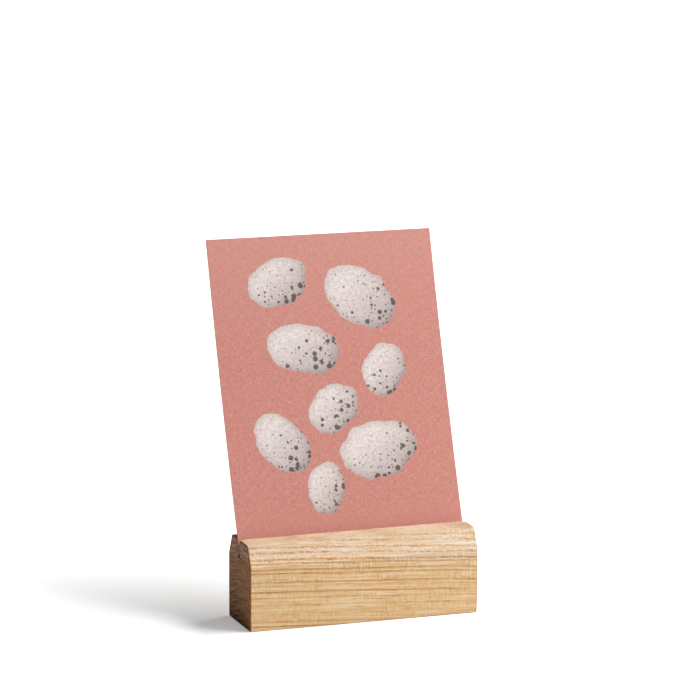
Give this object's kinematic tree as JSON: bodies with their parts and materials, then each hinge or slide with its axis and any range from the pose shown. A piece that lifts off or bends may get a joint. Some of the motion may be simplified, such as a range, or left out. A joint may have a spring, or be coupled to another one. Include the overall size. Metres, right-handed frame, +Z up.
{
  "type": "wooden photo block holder",
  "caption": "Bevelled wood block with an end-to-end leaning slot in its top that holds a stiff photo card upright, leaning back.",
  "frame": {"origin": "middle of the block's underside", "axes": "+X along the block to the viewer's right, +Y from the block's front to its back, the way the card leans, +Z up"},
  "size_m": [0.1073, 0.07, 0.1617],
  "materials": {
    "wood": "sanded pale open-grained hardwood, unlacquered",
    "card": "matt uncoated print on stiff card"
  },
  "bodies": {
    "block": {"wood_block": "wood"},
    "card": {"photo_card": "card"}
  },
  "joints": [
    {"name": "card_lift", "type": "slide", "parent": "block", "child": "card", "axis": [0, 0.4147, 0.91], "range_m": [0, 0.03]}
  ]
}
